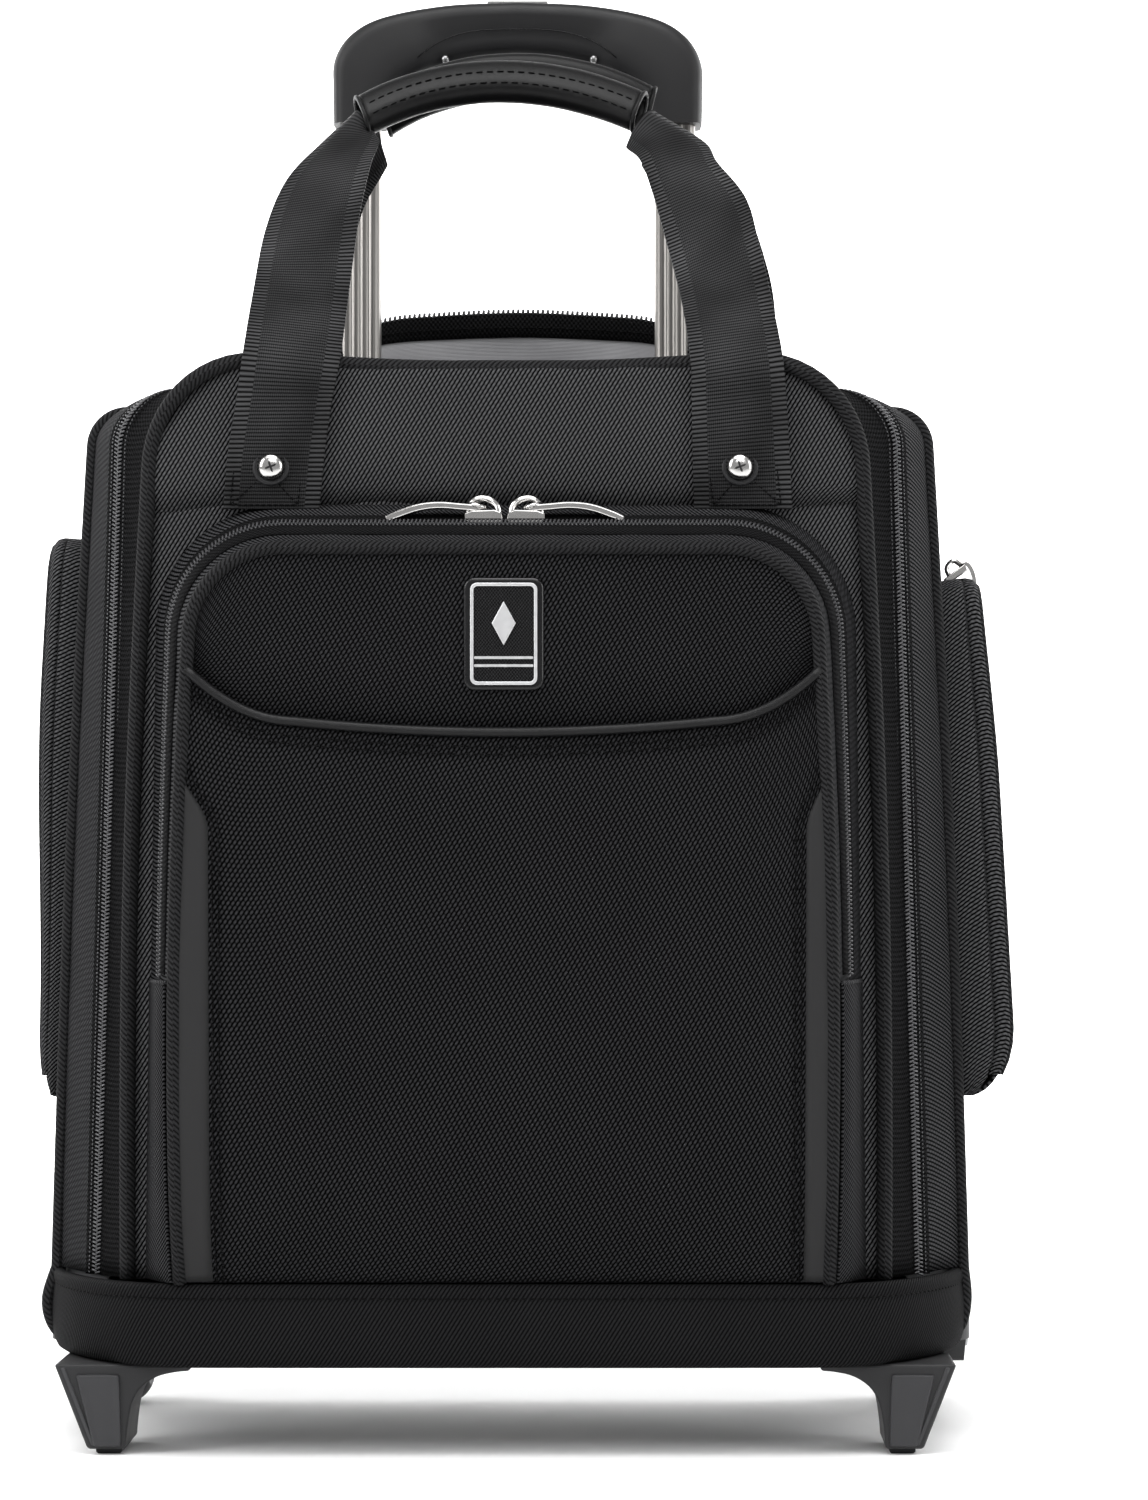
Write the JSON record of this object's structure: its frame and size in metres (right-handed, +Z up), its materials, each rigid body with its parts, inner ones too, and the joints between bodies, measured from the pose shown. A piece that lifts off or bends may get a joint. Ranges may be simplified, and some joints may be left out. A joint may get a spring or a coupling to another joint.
{
  "type": "rolling flight case",
  "caption": "Upright soft-sided rolling crew bag with a telescoping grip, two carry handles, a fold-down zipped front with its own pocket, side pockets, rear wheels and front feet.",
  "frame": {"origin": "on the floor under the middle of the bag", "axes": "+Z up, the front with its pocket faces -Y, +X to the right as seen from the front"},
  "size_m": [0.402, 0.2332, 0.5883],
  "materials": {
    "ballistic_nylon": "black ballistic nylon with a basket weave",
    "twill": "black diagonal twill",
    "lining": "grey satin",
    "board": "stiffening board",
    "webbing": "heavy nylon webbing with ribbed edges",
    "leather": "smooth black leather",
    "zipper_teeth": "black coil zipper",
    "moulded_plastic": "fine-textured black moulding",
    "grip_plastic": "satin charcoal moulding",
    "tube_aluminium": "brushed and ribbed along its length",
    "chrome": "polished",
    "steel": "plain",
    "tyre": "smooth black urethane",
    "hub_plastic": "moulded",
    "glide_rubber": "matt",
    "badge_black": "gloss black plate in a bright frame"
  },
  "bodies": {
    "case": {"back_panel": "ballistic_nylon", "left_side_panel": "ballistic_nylon", "right_side_panel": "ballistic_nylon", "top_panel": "ballistic_nylon", "base_tray": "moulded_plastic", "base_band": "twill", "front_gusset": "ballistic_nylon", "side_piping": "twill", "case_zipper": "zipper_teeth", "interior_lining": "lining", "back_divider": "board", "handle_cup": "moulded_plastic", "outer_tubes": "tube_aluminium", "wheel_housings": "moulded_plastic", "wheel_axles": "steel", "front_feet": "moulded_plastic", "foot_glides": "glide_rubber", "base_screws": "steel", "rear_strap_anchors": "webbing"},
    "mid_stage": {"mid_tubes": "tube_aluminium"},
    "grip_stage": {"grip_front": "grip_plastic", "grip_rear": "grip_plastic", "inner_tubes": "tube_aluminium", "lock_plugs": "moulded_plastic", "grip_screws": "steel"},
    "release_button": {"release_button": "chrome", "release_rods": "steel"},
    "left_wheel": {"left_tyre": "tyre", "left_hub": "hub_plastic", "left_bearings": "steel"},
    "right_wheel": {"right_tyre": "tyre", "right_hub": "hub_plastic", "right_bearings": "steel"},
    "lid": {"lid_panel": "ballistic_nylon", "lid_piping": "twill", "lid_zipper": "zipper_teeth", "lid_pocket_body": "ballistic_nylon", "front_strap_anchors": "webbing", "handle_screws": "chrome"},
    "pocket_flap": {"pocket_cover": "ballistic_nylon", "slip_panel": "ballistic_nylon", "trim_band": "leather", "badge": "badge_black"},
    "front_handle": {"front_straps": "webbing", "front_wrap": "leather"},
    "rear_handle": {"rear_straps": "webbing", "rear_wrap": "leather"},
    "handle_flap": {"handle_flap": "lining"},
    "left_side_cover": {"left_pocket_cover": "ballistic_nylon"},
    "right_side_cover": {"right_pocket_cover": "ballistic_nylon"},
    "left_front_slider": {"left_front_slider": "chrome"},
    "left_front_pull": {"left_front_pull": "chrome"},
    "right_front_slider": {"right_front_slider": "chrome"},
    "right_front_pull": {"right_front_pull": "chrome"},
    "left_side_slider": {"left_side_slider": "chrome"},
    "left_side_pull": {"left_side_pull": "chrome"},
    "right_side_slider": {"right_side_slider": "chrome"},
    "right_side_pull": {"right_side_pull": "chrome"},
    "main_slider": {"main_slider": "chrome"},
    "main_pull": {"main_pull": "chrome"}
  },
  "joints": [
    {"name": "lid_fold", "type": "hinge", "parent": "case", "child": "lid", "pos_m": [0, -0.1012, 0.0665], "axis": [1, 0, 0], "range_deg": [0, 90]},
    {"name": "front_pocket_fold", "type": "hinge", "parent": "lid", "child": "pocket_flap", "pos_m": [0, -0.1137, 0.1821], "axis": [1, 0, 0], "range_deg": [0, 75]},
    {"name": "front_handle_swing", "type": "hinge", "parent": "lid", "child": "front_handle", "pos_m": [0, -0.0845, 0.421], "axis": [1, 0, 0], "range_deg": [0, 150]},
    {"name": "rear_handle_swing", "type": "hinge", "parent": "case", "child": "rear_handle", "pos_m": [0, 0.047, 0.4148], "axis": [1, 0, 0], "range_deg": [-12, 0]},
    {"name": "handle_flap_fold", "type": "hinge", "parent": "case", "child": "handle_flap", "pos_m": [0, 0.1105, 0.4125], "axis": [-1, 0, 0], "range_deg": [0, 90]},
    {"name": "middle_stage_slide", "type": "slide", "parent": "case", "child": "mid_stage", "axis": [0, 0, 1], "range_m": [0, 0.26]},
    {"name": "grip_stage_slide", "type": "slide", "parent": "mid_stage", "child": "grip_stage", "axis": [0, 0, 1], "range_m": [-0.176, 0.08]},
    {"name": "button_press", "type": "slide", "parent": "grip_stage", "child": "release_button", "axis": [0, 0, 1], "range_m": [-0.0035, 0], "stiffness_N_per_m": 400, "springref_m": 0.002},
    {"name": "left_wheel_spin", "type": "hinge", "parent": "case", "child": "left_wheel", "pos_m": [-0.164, 0.088, 0.03], "axis": [1, 0, 0], "continuous": true},
    {"name": "right_wheel_spin", "type": "hinge", "parent": "case", "child": "right_wheel", "pos_m": [0.164, 0.088, 0.03], "axis": [1, 0, 0], "continuous": true},
    {"name": "left_side_pocket_fold", "type": "hinge", "parent": "case", "child": "left_side_cover", "pos_m": [-0.20055, 0, 0.1431], "axis": [0, -1, 0], "range_deg": [0, 70]},
    {"name": "right_side_pocket_fold", "type": "hinge", "parent": "case", "child": "right_side_cover", "pos_m": [0.20055, 0, 0.1431], "axis": [0, 1, 0], "range_deg": [0, 70]},
    {"name": "left_front_slider_run", "type": "slide", "parent": "lid", "child": "left_front_slider", "axis": [-1, 0, 0], "range_m": [0, 0.06]},
    {"name": "right_front_slider_run", "type": "slide", "parent": "lid", "child": "right_front_slider", "axis": [1, 0, 0], "range_m": [0, 0.06]},
    {"name": "left_front_pull_swing", "type": "hinge", "parent": "left_front_slider", "child": "left_front_pull", "pos_m": [-0.0125, -0.0927, 0.3647], "axis": [0, 1, 0], "range_deg": [0, 110]},
    {"name": "right_front_pull_swing", "type": "hinge", "parent": "right_front_slider", "child": "right_front_pull", "pos_m": [0.0125, -0.0927, 0.3647], "axis": [0, -1, 0], "range_deg": [0, 110]},
    {"name": "left_side_slider_run", "type": "slide", "parent": "case", "child": "left_side_slider", "axis": [-0.058, 0, -0.9983], "range_m": [0, 0.184]},
    {"name": "right_side_slider_run", "type": "slide", "parent": "case", "child": "right_side_slider", "axis": [0, 1, 0], "range_m": [0, 0.055]},
    {"name": "left_side_pull_swing", "type": "hinge", "parent": "left_side_slider", "child": "left_side_pull", "pos_m": [-0.18348, 0.0898, 0.32987], "axis": [0.9983, 0, -0.058], "range_deg": [0, 110]},
    {"name": "right_side_pull_swing", "type": "hinge", "parent": "right_side_slider", "child": "right_side_pull", "pos_m": [0.18512, 0.009, 0.3517], "axis": [0, -1, 0], "range_deg": [0, 110]},
    {"name": "main_slider_run", "type": "slide", "parent": "case", "child": "main_slider", "axis": [1, 0, 0], "range_m": [-0.09, 0.06]},
    {"name": "main_pull_swing", "type": "hinge", "parent": "main_slider", "child": "main_pull", "pos_m": [0.0029, -0.0576, 0.4184], "axis": [0, -1, 0], "range_deg": [0, 130]}
  ]
}
